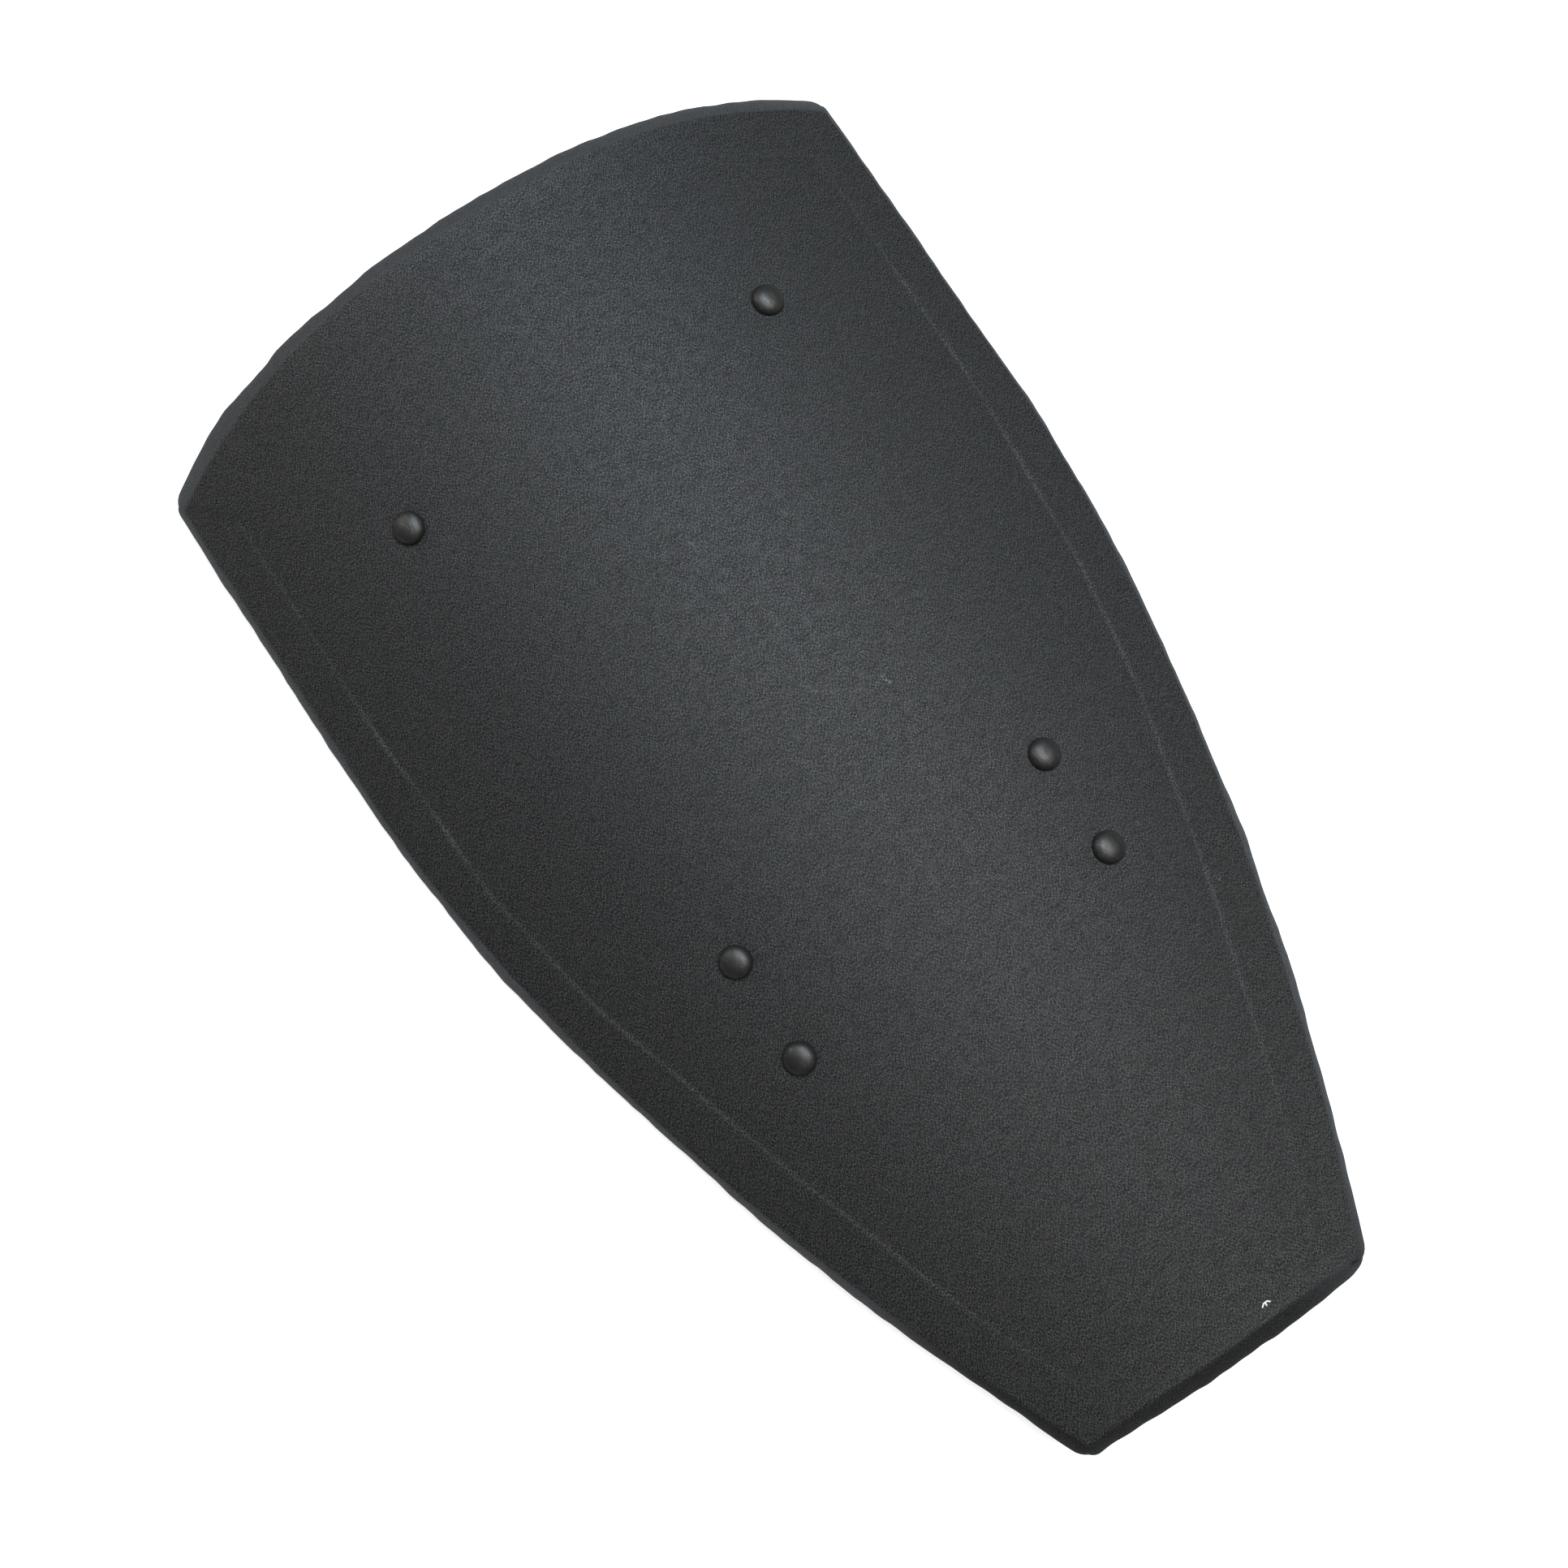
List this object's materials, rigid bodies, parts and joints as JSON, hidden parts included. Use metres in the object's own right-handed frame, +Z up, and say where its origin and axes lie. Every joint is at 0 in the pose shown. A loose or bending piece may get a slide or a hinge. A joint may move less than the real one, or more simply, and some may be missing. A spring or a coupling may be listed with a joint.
{
  "type": "punch shield",
  "caption": "Strapped arm shield: a bent board under black canvas, arched at the head and narrowing to a straight foot, worn on the forearm.",
  "frame": {"origin": "on the floor under the middle of the part's box, with the shield lying front up on its two side edges", "axes": "+Z up, out of the front; +Y along the shield, from the narrow foot to the arched head; +X across it, to the right seen from the front with the head up"},
  "size_m": [0.4054, 0.67, 0.076],
  "materials": {
    "plywood": "matte",
    "canvas": "matte",
    "leather": "satin",
    "blackened_steel": "satin"
  },
  "bodies": {
    "root": {"board": "plywood", "canvas_cover": "canvas", "grip_strap": "leather", "forearm_strap": "leather", "rivet_grip_left": "blackened_steel", "rivet_grip_right": "blackened_steel", "rivet_arm_upper_left": "blackened_steel", "rivet_arm_upper_right": "blackened_steel", "rivet_arm_lower_left": "blackened_steel", "rivet_arm_lower_right": "blackened_steel", "washer_grip_left": "blackened_steel", "washer_grip_right": "blackened_steel", "washer_arm_upper_left": "blackened_steel", "washer_arm_upper_right": "blackened_steel", "washer_arm_lower_left": "blackened_steel", "washer_arm_lower_right": "blackened_steel"}
  },
  "joints": []
}
